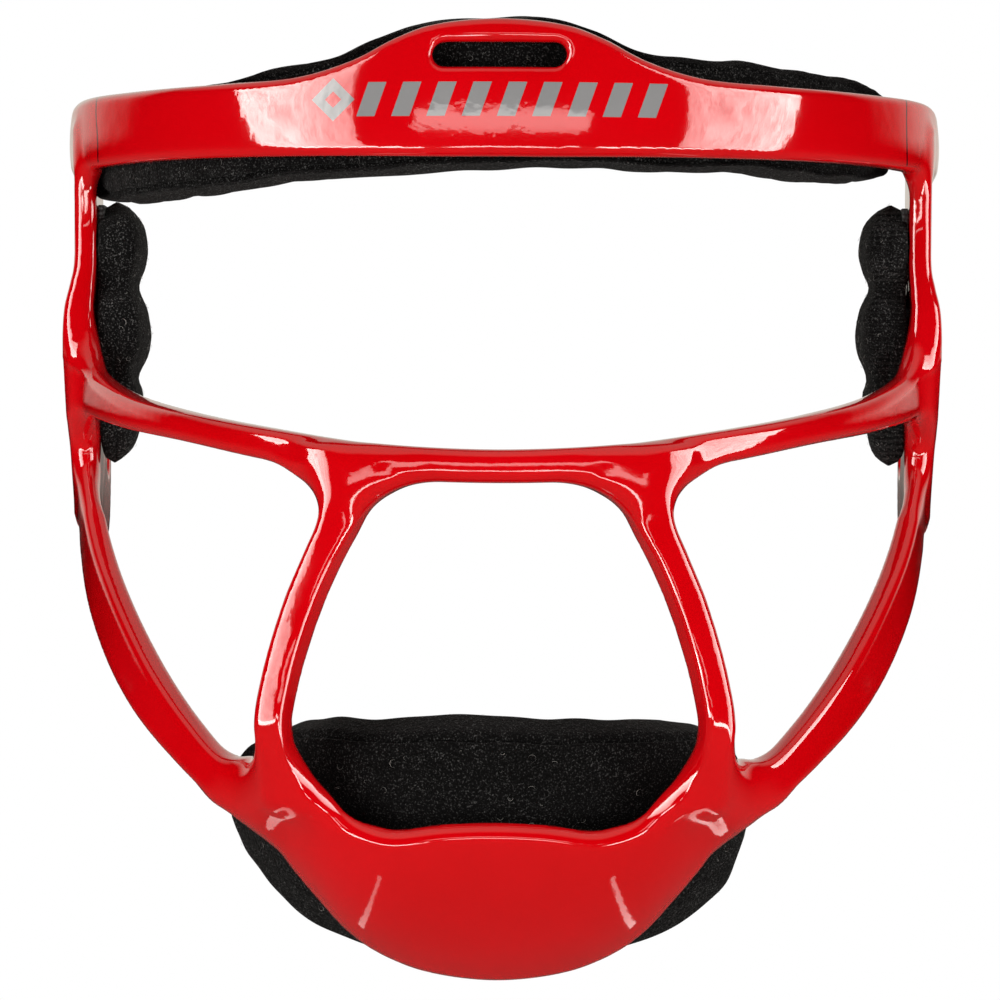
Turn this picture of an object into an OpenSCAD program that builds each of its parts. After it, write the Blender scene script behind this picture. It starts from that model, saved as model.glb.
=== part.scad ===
// Fielder's face mask: one cast frame, hook patches stuck inside it and four
// padded cushions that pull off the patches.
//
// X runs to the viewer's right when the mask is seen from the front, Y runs from
// the front of the mask to the wearer's head, Z runs up. The origin is the middle
// of the head opening. Right-hand shapes are written out, left-hand ones mirror them.

/* [Overall] */
// Width across the temple plates
mask_w = 178; // [166:1:192]
// Height from the strap tab's top to the chin guard's bottom
mask_h = 187; // [174:1:200]
// Depth from the mid bar's front to the temple plates' rear edge
mask_d = 117; // [108:1:126]

/* [Frame] */
// Wall of the brow band
brow_t = 4.2; // [3.4:0.1:5]
// Wall of the posts and temple plates
plate_t = 4.2; // [3.4:0.1:5]
// Wall of the chin guard
guard_t = 4; // [3.4:0.1:5]
// Depth of the mid bar at the nose, front to back
bar_t = 6.2; // [5:0.1:7.5]
// Width of each nose bar
nose_w = 6.8; // [5.5:0.1:7.5]
// Greatest width of each jaw bar
jaw_w = 12.5; // [11:0.1:14]
// Edge rounding of bars and plates
edge_r = 1.5; // [0.8:0.1:2]

/* [Strap slots] */
// Length of each strap slot, a little over the 25 mm webbing it takes
slot_len = 26; // [21:0.5:28]
// Width of each strap slot
slot_w = 4.8; // [4:0.1:6]

/* [Pads] */
// Thickness of the forehead pad
brow_pad_t = 12; // [9:0.5:13]
// Thickness of each side pad
side_pad_t = 7.8; // [6.8:0.2:10]
// Thickness of the chin pad
chin_pad_t = 11; // [9:0.5:12]
// Wall of the fabric that wraps each foam core
cover_t = 1.2; // [0.8:0.1:1.6]
// Thickness of the hook patches on the frame
hook_t = 1.2; // [0.8:0.1:1.6]
// Thickness of the loop backing on each pad
loop_t = 1; // [0.8:0.1:1.4]
// Gap left between the hooks and the loops
pull_gap = 0.5; // [0.4:0.05:0.8]

/* [Hidden] */

frame_red = [0.78, 0.03, 0.05];
hook_black = [0.05, 0.05, 0.05];
loop_black = [0.08, 0.08, 0.08];
foam_grey = [0.25, 0.25, 0.26];
fabric_black = [0.1, 0.1, 0.1];

// Every shape below is drawn at this size and stretched to the size asked for
drawn = [178, 117, 187];
size_by = [mask_w / drawn.x, mask_d / drawn.y, mask_h / drawn.z];

glue_gap = 0.2;                              // adhesive film under each hook patch
loop_at = glue_gap + hook_t + pull_gap;      // from a wall's inner face to the loops
cover_at = loop_at + loop_t + 0.15;          // from a wall's inner face to the pad
fine_r = 0.3;                                // edge rounding of thin sheets
core_r = 2.6;                                // front edge rounding of the foam cores
cover_r = 3.8;                               // front edge rounding of the covers

// ---- Strips -------------------------------------------------------------
// A strip is a list of stations laid end to end. A station is nine numbers: the two
// edges A and B of the frame's outer face, the wall's thickness inwards, the bow, which
// is how far the middle of the face stands out from the line A to B, and the thickness
// of a pad behind the wall.

function sized(p) = [p.x * size_by.x, p.y * size_by.y, p.z * size_by.z];
function station(a, b, wall, bow = 0, pad = 0) = concat(sized(a), sized(b), [wall, bow, pad]);
function edge_a(s) = [s[0], s[1], s[2]];
function edge_b(s) = [s[3], s[4], s[5]];
function wall_of(s) = s[6];
function bow_of(s) = s[7];
function pad_of(s) = s[8];
function middle(s) = (edge_a(s) + edge_b(s)) / 2;
function width(s) = norm(edge_b(s) - edge_a(s));
function unit(v) = v / norm(v);

// The other half of a strip that starts on the centre line
function other_side(s) =
    concat([-s[0], s[1], s[2], -s[3], s[4], s[5]], [for (k = [6:8]) s[k]]);
function both_sides(strip) =
    concat([for (i = [len(strip) - 1:-1:1]) other_side(strip[i])], strip);

// A smooth curve through the stations, with n rings to each stretch
function through(p, q, r, s, t) =
    q + (r - p) * t / 2
    + (2 * p - 5 * q + 4 * r - s) * t * t / 2
    + (3 * q - p - 3 * r + s) * t * t * t / 2;
function smooth(strip, n) = let(last = len(strip) - 1) [
    for (i = [0:last - 1]) for (j = [0:n - 1])
        through(strip[max(i - 1, 0)], strip[i], strip[i + 1], strip[min(i + 2, last)], j / n),
    strip[last]];

// Directions at ring i: along the strip, across it from A to B, and inwards
function along(s, i) = unit(middle(s[min(i + 1, len(s) - 1)]) - middle(s[max(i - 1, 0)]));
function across(s, i) = unit(edge_b(s[i]) - edge_a(s[i]));
function inwards(s, i) = unit(cross(along(s, i), across(s, i)));

// A section drawn in the plane of ring i, x across and y inwards, following the bow
function place(s, i, outline) = let(u = across(s, i), v = inwards(s, i), w = width(s[i]))
    [for (p = outline)
        middle(s[i]) + u * p.x + v * (p.y - bow_of(s[i]) * (1 - pow(2 * p.x / w, 2)))];

// Rounded rectangle w across, from depth y inwards by t, with extra points along its
// long faces. Its outer edges are rounded by r_out and its inner edges by r_in.
function arc(x, y, r, from) = [for (k = [0:2])
    [x + r * cos(from + 45 * k), y + r * sin(from + 45 * k)]];
function run(w, y, extra, way) = extra == 0 ? [] :
    [for (k = [1:extra]) [way * w * (k / (extra + 1) - 0.5), y]];
function section(w, y, t, r_out, r_in, extra) =
    let(m = min(w / 2, t / 2) - 0.05, a = min(r_out, m), b = min(r_in, m)) concat(
    arc(a - w / 2, y + a, a, 180), run(w - 2 * a, y, extra, 1),
    arc(w / 2 - a, y + a, a, 270), arc(w / 2 - b, y + t - b, b, 0),
    run(w - 2 * b, y + t, extra, -1), arc(b - w / 2, y + t - b, b, 90));

// Section of a foam core: square at the back, where the loop backing lies on it
function core_section(w, y, t, extra) = let(b = min(core_r, w / 2 - 0.05, t - 0.05)) concat(
    [[-w / 2, y]], run(w, y, extra, 1), [[w / 2, y]], arc(w / 2 - b, y + t - b, b, 0),
    run(w - 2 * b, y + t, extra, -1), arc(b - w / 2, y + t - b, b, 90));

// Faces are listed anticlockwise from outside and turned over for the polyhedron
module solid(points, faces) {
    polyhedron(points, [for (f = faces) [for (k = [len(f) - 1:-1:0]) f[k]]], convexity = 8);
}

// The two triangles between points a, b of one ring and d, c of the next
function quad(a, b, c, d) = [[a, b, c], [a, c, d]];

// Closed solid through a list of rings that have the same number of points
module skin(rings) {
    m = len(rings[0]);
    last = len(rings) - 1;
    sides = [for (i = [0:last - 1]) for (k = [0:m - 1])
        let(a = i * m + k, b = i * m + (k + 1) % m) each quad(a, b, b + m, a + m)];
    solid([for (r = rings) each r], concat([[for (k = [m - 1:-1:0]) k]], sides,
        [[for (k = [0:m - 1]) last * m + k]]));
}

// Bar or wall along a strip
module sweep(s, r = edge_r, extra = 0) {
    skin([for (i = [0:len(s) - 1])
        place(s, i, section(width(s[i]), 0, wall_of(s[i]), r, r, extra))]);
}

// Thin sheet behind a strip's wall, from ring first to ring last, with the strip's
// edges A and B trimmed off
module sheet(s, gap, t, trim_a, trim_b, first, last, extra = 0) {
    skin([for (i = [first:last])
        place(s, i, [for (p = section(width(s[i]) - trim_a - trim_b, wall_of(s[i]) + gap, t,
            fine_r, fine_r, extra)) p + [(trim_a - trim_b) / 2, 0]])]);
}

// Strip round a bar's centre line: rows of [x, y, z, facing, width, thickness],
// where facing is the outer face's direction in plan, from +X towards the front
function bar_strip(rows) = let(last = len(rows) - 1) [for (i = [0:last])
    let(c = [for (k = [0:2]) rows[i][k]],
        before = rows[max(i - 1, 0)],
        after = rows[min(i + 1, last)],
        way = unit([for (k = [0:2]) after[k] - before[k]]),
        look = [cos(rows[i][3]), -sin(rows[i][3]), 0],
        out = unit(look - way * (look * way)),
        half = cross(way, out) * rows[i][4] / 2,
        face = c + out * rows[i][5] / 2)
    station(face - half, face + half, rows[i][5])];

// ---- Outlines, right-hand half --------------------------------------------

// Brow band and strap tab: [x, y, top, bottom], rising to the tab in the middle
brow_half = [
    [0, -40, 93, 66.3], [12, -39.4, 92, 66.3], [20, -38.4, 89.4, 66.4], [29, -36.6, 85, 66.5],
    [40, -33, 82, 66.6], [54, -25.8, 81.2, 66.7], [66, -16, 81, 66.8], [76, -3, 81, 66.8],
    [83.4, 10, 81, 66.6], [87, 22, 80.6, 66.4], [88.2, 30, 78.6, 66.4], [88.6, 35, 75, 66.6]];

// Mid bar: [x, y, top, bottom, depth], flaring into the temple plate
bar_half = [
    [0, -58, 9.6, 3.2, bar_t], [25, -56, 10.8, 4.2, bar_t], [45, -48, 13.6, 7.4, bar_t],
    [62, -34, 16.8, 11, bar_t - 0.4], [75, -14, 20.6, 13.6, bar_t - 1], [83.4, 6, 26, 16.2, plate_t + 0.4],
    [87.6, 22, 33, 18.2, plate_t + 0.4], [89, 36, 38, 19.5, plate_t + 0.4]];

// Post and temple plate, from its bottom up: [x, front, rear, z]
plate_rows = [
    [86.6, 33, 48, -9], [87, 28, 54, -4], [87.6, 23, 57, 4], [88.2, 19, 58, 12], [88.6, 15, 58, 19],
    [89, 12, 58, 30], [88.8, 12, 54, 38], [87.8, 13, 45, 43], [87, 14, 38, 47.5], [87, 15, 34, 55],
    [87, 14, 33, 64], [87, 15, 33, 70], [86.8, 16, 32, 74]];

// Nose bar centre line, from the chin guard up to the mid bar
nose_rows = [
    [40, -51, -56, 90, nose_w + 2, 5], [41.8, -54, -49, 88, nose_w + 0.6, 5.6],
    [42.4, -55.6, -42, 87, nose_w, 6], [41, -55.4, -34, 87, nose_w, 6],
    [39, -55, -26.5, 88, nose_w, 6], [36.5, -54, -19, 89, nose_w, 6],
    [33.3, -53.4, -11.4, 90, nose_w, 6], [29.8, -53, -4, 90, nose_w + 1.4, 6],
    [28, -53, 2, 90, nose_w + 4.4, 5.6], [27.5, -53, 6.4, 90, nose_w + 6, 5]];

// Jaw bar centre line, from the chin guard up to the temple plate
jaw_rows = [
    [44.6, -43.4, -59, 56, 9, 4.6], [53.7, -38, -54, 46, jaw_w - 3.4, 5],
    [61.3, -30, -46.9, 40, jaw_w - 2.6, 5], [67.4, -22, -39.4, 34, jaw_w - 1.4, 5],
    [72.4, -13, -31.8, 28, jaw_w - 0.4, 4.8], [76.5, -4, -23.9, 22, jaw_w, 4.6],
    [79.8, 5, -16.1, 16, jaw_w, 4.6], [82.2, 13.5, -8, 10, jaw_w, 4.4],
    [84.6, 24, 3, 4, jaw_w, 4.2], [85.6, 35, 15, 2, jaw_w, 4]];

// Chin guard: [top edge, bottom edge, bow], with a dip each side of the middle
guard_half = [
    [[0, -57, -63.4], [0, -30, -94], 3.6], [[9.5, -56.6, -63.8], [12.4, -30.4, -92.6], 3.6],
    [[19.4, -55.4, -65], [21.4, -31.4, -89.3], 3.2], [[26.4, -54.2, -63.2], [28.4, -33, -84.6], 2.6],
    [[33, -52.8, -59.4], [34.8, -35, -77.6], 2], [[38, -51.4, -55], [41.4, -37.2, -69.8], 1.4],
    [[43, -48.6, -51.6], [47.4, -38, -64.4], 0.8], [[47.4, -45, -50.4], [52.4, -37.4, -60.2], 0.4]];

// Forehead pad outline on the brow's surface: [x, y, top, bottom, thickness share]
forehead_half = [
    [0, -40, 93.6, 64, 1], [14, -39.3, 93, 64, 1], [22, -38, 90.8, 63.9, 1], [31, -36, 87.2, 63.6, 1],
    [43, -31.6, 85.4, 63.2, 1], [56, -24.4, 84.4, 62.8, 1], [68, -13.8, 83.6, 62.2, 1],
    [77, -1.4, 82.6, 61.8, 0.98], [82.4, 10, 80.6, 62, 0.9], [84.6, 16, 77, 64, 0.7]];

// Outer face that the side pads are measured from
side_face = 86.8;

// Side pad, from its tail up: [front, rear, z, thickness share]; two waists part
// its three lobes
side_pad_rows = [
    [27, 31, 7.2, 0.44], [23, 35, 10.5, 0.66], [18.5, 38.5, 17, 0.8], [16.5, 40, 22, 0.78],
    [17.5, 39, 25.4, 0.73], [14.5, 42, 30, 0.94], [14, 43, 34.5, 1], [14.5, 42, 39, 0.95],
    [17.5, 39, 43.4, 0.75], [15, 41, 47.6, 0.88], [14.5, 41, 51.8, 0.92], [16, 40, 56, 0.86],
    [19, 37, 59, 0.68], [23, 33, 60.4, 0.46]];

// Chin pad outline on the chin guard's surface: [top edge, bottom edge, bow,
// thickness share]
chin_pad_half = [
    [[0, -56, -48.6], [0, -27.6, -94.4], 6.4, 1], [[14, -55, -48.4], [14.4, -28, -93.2], 6.2, 1],
    [[26.6, -51.2, -47.8], [27, -28, -90.6], 5.4, 1], [[38, -45.2, -47.6], [38.2, -27, -86], 4.2, 1],
    [[46.4, -37.8, -48.6], [46.6, -25.2, -79.8], 3, 0.96],
    [[52.6, -29.8, -51], [52.6, -22.6, -72.6], 2, 0.86],
    [[56, -23.6, -55], [55.8, -20.6, -65.4], 1, 0.68]];

// ---- Strips of the frame ---------------------------------------------------

function upright(r, wall, pad = 0) = station([r[0], r[1], r[2]], [r[0], r[1], r[3]], wall, 0, pad);

brow_strip = smooth(both_sides([for (r = brow_half) upright(r, brow_t)]), 3);
mid_bar_strip = smooth(both_sides([for (r = bar_half) upright(r, r[4])]), 4);
plate_strip = smooth([for (r = plate_rows)
    station([r[0], r[1], r[3]], [r[0], r[2], r[3]], plate_t + 0.8 * (r[0] - plate_rows[0][0]))], 2);
nose_strip = smooth(bar_strip(nose_rows), 3);
jaw_strip = smooth(bar_strip(jaw_rows), 3);
guard_strip = smooth(both_sides([for (r = guard_half) station(r[0], r[1], guard_t, r[2])]), 3);

// Brow wall below the strap slot, which the brow patches are stuck to
brow_low_strip = smooth(both_sides([for (r = brow_half)
    upright([r[0], r[1], min(r[2], 81), r[3]], brow_t)]), 3);

brow_mid = (len(brow_strip) - 1) / 2;
guard_mid = (len(guard_strip) - 1) / 2;

top_slot_at = [0, -38, 86];
side_slot_at = [85.7, 50, 18.7];

// ---- Frame -------------------------------------------------------------------

// Crotch between two bars, filled by rods: each is [end, other end, radius]
module web(rods) {
    for (p = rods) hull() {
        translate(sized(p[0])) sphere(p[2], $fn = 12);
        translate(sized(p[1])) sphere(p[2], $fn = 12);
    }
}

// Oblong hole with round ends, lying along X and cut along Y
module slot(deep) {
    rotate([90, 0, 0]) linear_extrude(deep, center = true) {
        square([slot_len - slot_w, slot_w], center = true);
        for (way = [-1, 1]) translate([way * (slot_len - slot_w) / 2, 0]) circle(d = slot_w, $fn = 32);
    }
}

module frame_right_half() {
    sweep(plate_strip);
    sweep(nose_strip, 1.3);
    sweep(jaw_strip, 1.8);
    // post and mid bar
    web([[[85.4, 15.6, 38], [82, 6, 24], 1.9], [[85.6, 15.6, 42], [84, 10, 28], 1.9],
        [[85.2, 15.6, 34], [78.6, -3, 20.4], 1.9]]);
    // top corner of the eye opening
    web([[[84, 17.6, 63.4], [79.8, 6.6, 68.6], 1.8]]);
    // nose bar into the mid bar, inner and outer side
    web([[[23, -54, 4.4], [28.4, -53.8, -5.6], 2.2], [[32.8, -54, 5], [32.2, -53.8, -5.6], 1.8]]);
    // nose bar and jaw bar into the chin guard
    web([[[41, -53, -48], [35, -50.6, -58.6], 2], [[42.6, -51.4, -50], [47, -42.6, -56.6], 1.9],
        [[40, -49.6, -55], [46.6, -41, -60], 1.9]]);
    // jaw bar into the temple plate
    web([[[84.8, 27, 0], [85, 38, 0], 1.6], [[84.4, 20, 2], [85.8, 23, 14], 1.6]]);
}

module frame() {
    color(frame_red) difference() {
        union() {
            sweep(brow_strip);
            sweep(mid_bar_strip, 2);
            sweep(guard_strip, edge_r, 5);
            frame_right_half();
            mirror([1, 0, 0]) frame_right_half();
        }
        translate(sized(top_slot_at)) slot(12);
        for (way = [-1, 1])
            translate(sized([way * side_slot_at.x, side_slot_at.y, side_slot_at.z]))
                rotate([0, 90, 90]) slot(16);
    }
}

// ---- Hook patches ------------------------------------------------------------

module brow_hook(first, last) {
    color(hook_black) sheet(brow_low_strip, glue_gap, hook_t, 2.2, 2.2, brow_mid + first, brow_mid + last);
}

module side_hook(first, last, trim_front, trim_rear) {
    color(hook_black) sheet(plate_strip, glue_gap, hook_t, trim_front, trim_rear, first, last);
}

module chin_hook(first, last, trim) {
    color(hook_black)
        sheet(guard_strip, glue_gap, hook_t, trim, trim, guard_mid + first, guard_mid + last, 5);
}

// ---- Pads ----------------------------------------------------------------------
// A pad is a foam core in a fabric cover that is open at the back, and a loop backing
// that closes it. Its guide strip lies on the frame's outer face.

forehead_guide = smooth(both_sides([for (r = forehead_half)
    upright(r, brow_t, brow_pad_t * r[4])]), 2);
side_guide = smooth([for (r = side_pad_rows)
    station([side_face, r[0], r[2]], [side_face, r[1], r[2]], plate_t, 0, side_pad_t * r[3])], 1);
chin_guide = smooth(both_sides([for (r = chin_pad_half)
    station(r[0], r[1], guard_t, r[2], chin_pad_t * r[3])]), 3);

function core_ring(s, extra) = [for (i = [1:len(s) - 2])
    place(s, i, core_section(width(s[i]) - 2 * cover_t, wall_of(s[i]) + cover_at,
        pad_of(s[i]) - cover_t, extra))];

module backing(s, extra = 0) {
    color(loop_black) sheet(s, loop_at, loop_t, cover_t, cover_t, 1, len(s) - 2, extra);
}

module foam(s, extra = 0) {
    color(foam_grey) skin(core_ring(s, extra));
}

// The cover is one closed surface: the outside, a rim at the back, and the pocket
module cover(s, extra = 0) {
    outer = [for (i = [0:len(s) - 1])
        place(s, i, section(width(s[i]), wall_of(s[i]) + cover_at, pad_of(s[i]), 0.5, cover_r, extra))];
    core = core_ring(s, extra);
    m = len(outer[0]);
    n = len(core[0]);
    last = len(outer) - 1;
    back = 2;                       // the outer section's first point on its back face
    shore = 1 + extra;              // points of the pocket's mouth after its first
    base = (last + 1) * m;          // where the pocket's points start
    function o(i, k) = i * m + k;
    function c(i, k) = base + (i - 1) * n + k;
    outside = [for (i = [0:last - 1]) for (k = [0:m - 1]) if (k < back || k > back + extra)
        each quad(o(i, k), o(i, (k + 1) % m), o(i + 1, (k + 1) % m), o(i + 1, k))];
    rims = [for (i = [1:last - 2]) each concat(
        quad(o(i, back), c(i, 0), c(i + 1, 0), o(i + 1, back)),
        quad(c(i, shore), o(i, back + shore), o(i + 1, back + shore), c(i + 1, shore)))];
    near_rim = concat([for (k = [0:extra]) each
        quad(o(0, back + k), o(0, back + k + 1), c(1, k + 1), c(1, k))],
        [[o(0, back), c(1, 0), o(1, back)],
        [o(0, back + shore), o(1, back + shore), c(1, shore)]]);
    far_rim = concat([for (k = [0:extra]) each
        quad(c(last - 1, k), c(last - 1, k + 1), o(last, back + k + 1), o(last, back + k))],
        [[o(last - 1, back), c(last - 1, 0), o(last, back)],
        [c(last - 1, shore), o(last - 1, back + shore), o(last, back + shore)]]);
    pocket = [for (i = [1:last - 2]) for (k = [shore:n - 1])
        each quad(c(i, k), c(i + 1, k), c(i + 1, (k + 1) % n), c(i, (k + 1) % n))];
    ends = [[for (k = [m - 1:-1:0]) k], [for (k = [0:m - 1]) o(last, k)],
        [for (k = [0:n - 1]) c(1, k)], [for (k = [n - 1:-1:0]) c(last - 1, k)]];
    color(fabric_black) solid(concat([for (r = outer) each r], [for (r = core) each r]),
        concat(outside, rims, near_rim, far_rim, pocket, ends));
}

// ---- Nodes ---------------------------------------------------------------------

module brow_hook_centre() { brow_hook(-6, 6); }
module brow_hook_right() { brow_hook(11, 22); }
module brow_hook_left() { mirror([1, 0, 0]) brow_hook(11, 22); }
module right_side_hook_lower() { side_hook(9, 13, 9, 15); }
module right_side_hook_upper() { side_hook(16, 19, 3, 3); }
module left_side_hook_lower() { mirror([1, 0, 0]) side_hook(9, 13, 9, 15); }
module left_side_hook_upper() { mirror([1, 0, 0]) side_hook(16, 19, 3, 3); }
module chin_hook_centre() { chin_hook(-4, 4, 7); }
module chin_hook_right() { chin_hook(7, 13, 4); }
module chin_hook_left() { mirror([1, 0, 0]) chin_hook(7, 13, 4); }
module forehead_pad_backing() { backing(forehead_guide); }
module forehead_pad_foam() { foam(forehead_guide); }
module forehead_pad_cover() { cover(forehead_guide); }
module right_side_pad_backing() { backing(side_guide); }
module right_side_pad_foam() { foam(side_guide); }
module right_side_pad_cover() { cover(side_guide); }
module left_side_pad_backing() { mirror([1, 0, 0]) backing(side_guide); }
module left_side_pad_foam() { mirror([1, 0, 0]) foam(side_guide); }
module left_side_pad_cover() { mirror([1, 0, 0]) cover(side_guide); }
module chin_pad_backing() { backing(chin_guide, 3); }
module chin_pad_foam() { foam(chin_guide, 3); }
module chin_pad_cover() { cover(chin_guide, 3); }

frame();
brow_hook_left();
brow_hook_centre();
brow_hook_right();
left_side_hook_upper();
left_side_hook_lower();
right_side_hook_upper();
right_side_hook_lower();
chin_hook_left();
chin_hook_centre();
chin_hook_right();
forehead_pad_backing();
forehead_pad_foam();
forehead_pad_cover();
left_side_pad_backing();
left_side_pad_foam();
left_side_pad_cover();
right_side_pad_backing();
right_side_pad_foam();
right_side_pad_cover();
chin_pad_backing();
chin_pad_foam();
chin_pad_cover();
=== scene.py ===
import math

import bpy
import numpy as np
from mathutils import Matrix, Vector


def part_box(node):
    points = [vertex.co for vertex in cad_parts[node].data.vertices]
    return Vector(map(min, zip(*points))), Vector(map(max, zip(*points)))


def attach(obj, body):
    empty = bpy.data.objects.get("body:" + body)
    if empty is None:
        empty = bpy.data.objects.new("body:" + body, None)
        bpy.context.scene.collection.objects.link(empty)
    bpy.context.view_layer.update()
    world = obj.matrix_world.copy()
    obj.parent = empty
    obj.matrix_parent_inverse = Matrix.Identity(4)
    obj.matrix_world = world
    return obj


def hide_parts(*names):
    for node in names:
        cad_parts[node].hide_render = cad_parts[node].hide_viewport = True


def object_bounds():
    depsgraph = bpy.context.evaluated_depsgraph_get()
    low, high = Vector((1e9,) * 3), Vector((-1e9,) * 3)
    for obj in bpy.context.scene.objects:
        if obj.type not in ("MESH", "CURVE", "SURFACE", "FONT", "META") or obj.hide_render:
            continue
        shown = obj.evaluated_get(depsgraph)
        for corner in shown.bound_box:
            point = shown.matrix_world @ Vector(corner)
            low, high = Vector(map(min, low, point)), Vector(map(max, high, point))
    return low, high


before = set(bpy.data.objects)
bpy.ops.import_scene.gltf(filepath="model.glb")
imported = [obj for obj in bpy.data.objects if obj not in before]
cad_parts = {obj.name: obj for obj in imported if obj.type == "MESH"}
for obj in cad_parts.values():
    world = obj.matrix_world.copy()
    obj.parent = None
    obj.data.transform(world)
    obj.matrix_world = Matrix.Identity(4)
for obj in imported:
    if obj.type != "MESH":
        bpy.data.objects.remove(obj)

# A fielder's face mask: one glossy cast frame lined with four fuzzy pads. Lengths are in
# millimetres up to the point where a mesh is made, because the shapes are thin walls.
# X runs to the viewer's right, Y to the wearer's head, Z up, as in the CAD model.

cad_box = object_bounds()
MM = 0.001


# ---- Size, from the CAD frame --------------------------------

DRAWN_LOW = np.array([-89.0, -58.8, -93.5])
DRAWN_HIGH = np.array([89.0, 58.25, 93.0])
frame_low, frame_high = (np.array(corner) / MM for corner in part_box("frame"))
FIT = (frame_high - frame_low) / (DRAWN_HIGH - DRAWN_LOW)


def sized(points):
    """Points drawn at the nominal size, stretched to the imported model's size."""
    return np.asarray(points, float) * FIT


# ---- Strips --------------------------------------------------
# A strip is a list of stations. A station is the two edges A and B of an outer face, the
# wall's thickness inwards, the bow of the face, and for a pad its thickness as well.

A, B, WALL, BOW, MORE = slice(0, 3), slice(3, 6), 6, 7, 8


def unit(v):
    return v / np.maximum(np.linalg.norm(v, axis=-1, keepdims=True), 1e-9)


def station(a, b, wall, bow=0.0, *more):
    return np.concatenate([sized(a), sized(b), [wall, bow, *more]])


def other_side(s):
    s = s.copy()
    s[0] *= -1
    s[3] *= -1
    return s


def both_sides(half):
    """A strip across the middle, from its right half, which starts on the centre line."""
    return [other_side(s) for s in half[:0:-1]] + list(half)


STRIP_RINGS = 8         # rings to a stretch between two stations of the frame


def smooth(stations, n):
    """A Catmull-Rom curve through the stations, n rings to a stretch."""
    s = np.array(stations)
    last = len(s) - 1
    rings = []
    for i in range(last):
        p, q, r, t = s[max(i - 1, 0)], s[i], s[i + 1], s[min(i + 2, last)]
        for k in range(n):
            w = k / n
            rings.append(
                q + (r - p) * w / 2 + (2 * p - 5 * q + 4 * r - t) * w**2 / 2
                + (3 * q - p - 3 * r + t) * w**3 / 2
            )
    return np.array(rings + [s[last]])


class Strip:
    """Rings along a strip, each with its middle, and its across, inward and forward axes."""

    def __init__(self, rings):
        self.rings = rings
        self.middle = (rings[:, A] + rings[:, B]) / 2
        self.width = np.linalg.norm(rings[:, B] - rings[:, A], axis=1)
        self.across = unit(rings[:, B] - rings[:, A])
        ahead = np.gradient(self.middle, axis=0)
        self.inward = unit(np.cross(ahead, self.across))
        self.forward = unit(np.cross(self.across, self.inward))


def upright(x, y, top, bottom, wall, bow=0.0, *more):
    return station((x, y, top), (x, y, bottom), wall, bow, *more)


def bar_stations(rows):
    """Stations round a bar's centre line: rows of x, y, z, facing, width, thickness."""
    rows = np.array(rows, float)
    centre = rows[:, :3]
    ahead = np.zeros_like(centre)
    ahead[1:-1] = centre[2:] - centre[:-2]
    ahead[0], ahead[-1] = centre[1] - centre[0], centre[-1] - centre[-2]
    ahead = unit(ahead)
    facing = np.radians(rows[:, 3])
    look = np.stack([np.cos(facing), -np.sin(facing), 0 * facing], 1)
    out = unit(look - ahead * (look * ahead).sum(1, keepdims=True))
    half = np.cross(ahead, out) * rows[:, 4:5] / 2
    face = centre + out * rows[:, 5:6] / 2
    return [station(f - h, f + h, t) for f, h, t in zip(face, half, rows[:, 5])]


# ---- Outlines, as in the CAD model ---------------------------

# Brow band and strap tab: x, y, top, bottom
BROW = [
    (0, -40, 93, 66.3), (12, -39.4, 92, 66.3), (20, -38.4, 89.4, 66.4), (29, -36.6, 85, 66.5),
    (40, -33, 82, 66.6), (54, -25.8, 81.2, 66.7), (66, -16, 81, 66.8), (76, -3, 81, 66.8),
    (83.6, 10, 81, 66.6), (87.5, 22, 80.6, 66.4), (88.7, 30, 78.6, 66.4), (88.8, 35, 75, 66.6),
]
BROW_WALL, BROW_BOW = 4.2, 0.6
# Mid bar: x, y, top, bottom, depth
MID_BAR = [
    (0, -58, 9.6, 3.2, 6.2), (25, -56, 10.8, 4.2, 6.2), (45, -48, 13.6, 7.4, 6.2),
    (62, -34, 16.8, 11, 5.8), (75, -14, 20.6, 13.6, 5.2), (83.4, 6, 26, 16.2, 4.6),
    (87.6, 22, 33, 18.2, 4.6), (89, 36, 38, 19.5, 4.6),
]
# Post and temple plate, from its bottom up: x, front, rear, z
PLATE = [
    (86.6, 33, 48, -9), (87, 28, 54, -4), (87.6, 23, 57, 4), (88.2, 19, 58, 12), (88.6, 15, 58, 19),
    (89, 12, 58, 30), (88.8, 12, 54, 38), (87.8, 13, 45, 43), (87, 14, 38, 47.5), (87, 15, 34, 55),
    (87, 14, 33, 64), (87, 15, 33, 70), (86.8, 16, 32, 74),
]
# Centre lines of the bars from the chin guard up: x, y, z, facing, width, thickness
NOSE_BAR = [
    (40, -51, -56, 86, 8.8, 5), (41.8, -54, -49, 82, 7.6, 5.6), (42.4, -55.6, -42, 77, 7.3, 6),
    (41, -55.4, -34, 74, 7.3, 6), (39, -55, -26.5, 72, 7.3, 6), (36.5, -54, -19, 72, 7.4, 6),
    (33.3, -53.4, -11.4, 73, 7.5, 6), (29.8, -53, -4, 80, 8.4, 6), (28, -52.8, 1.5, 88, 10.4, 5.6),
    (27.6, -52.4, 5.2, 91, 12.5, 4.8),
]
JAW_BAR = [
    (44.6, -43.4, -58.6, 56, 8, 4.6), (53.4, -38, -53.4, 46, 8, 5), (60.9, -30, -46.4, 40, 9.1, 5),
    (67.2, -22, -39.2, 34, 10.7, 5), (72.4, -13, -31.8, 28, 12.1, 4.8), (76.8, -4, -23.9, 22, 12.9, 4.6),
    (80.2, 5, -16.1, 16, 13.1, 4.6), (82.6, 13.5, -8, 10, 13.1, 4.4), (84.8, 24, 3, 4, 12.8, 4.2),
    (85.6, 35, 15, 2, 12.5, 4),
]
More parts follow.
